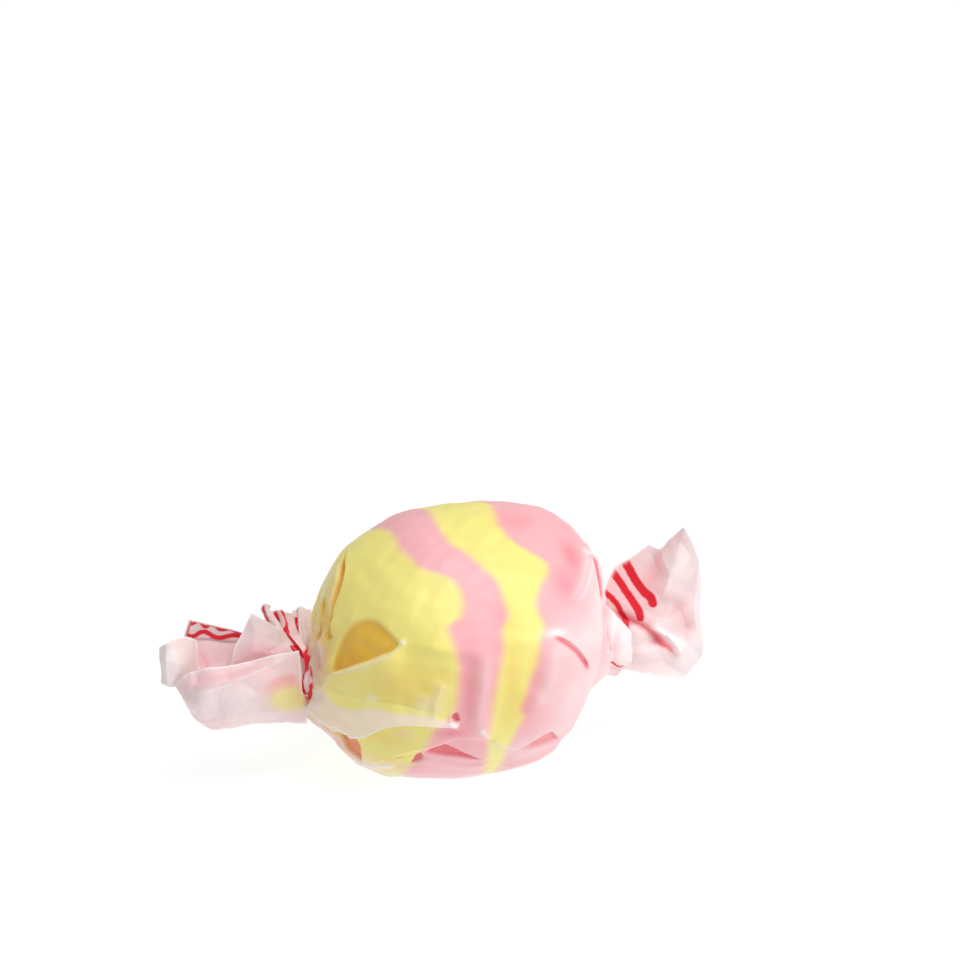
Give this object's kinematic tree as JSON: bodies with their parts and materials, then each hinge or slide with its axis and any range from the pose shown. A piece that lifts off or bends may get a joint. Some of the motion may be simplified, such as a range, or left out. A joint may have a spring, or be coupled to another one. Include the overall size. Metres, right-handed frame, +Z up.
{
  "type": "taffy",
  "caption": "Soft barrel of taffy twist-wrapped in one sheet of waxed paper, with a gathered neck and a crumpled fan of paper at each end.",
  "frame": {"origin": "middle of the underside of the bounding box", "axes": "+X along the candy from the left tail to the right tail, -Y the side that faces the viewer, +Z up"},
  "size_m": [0.0458, 0.022, 0.0216],
  "materials": {
    "taffy": "soft satin candy with pink and yellow stripes",
    "waxed_paper": "translucent waxed paper, soft sheen"
  },
  "bodies": {
    "root": {"taffy": "taffy", "wrapper": "waxed_paper"}
  },
  "joints": []
}
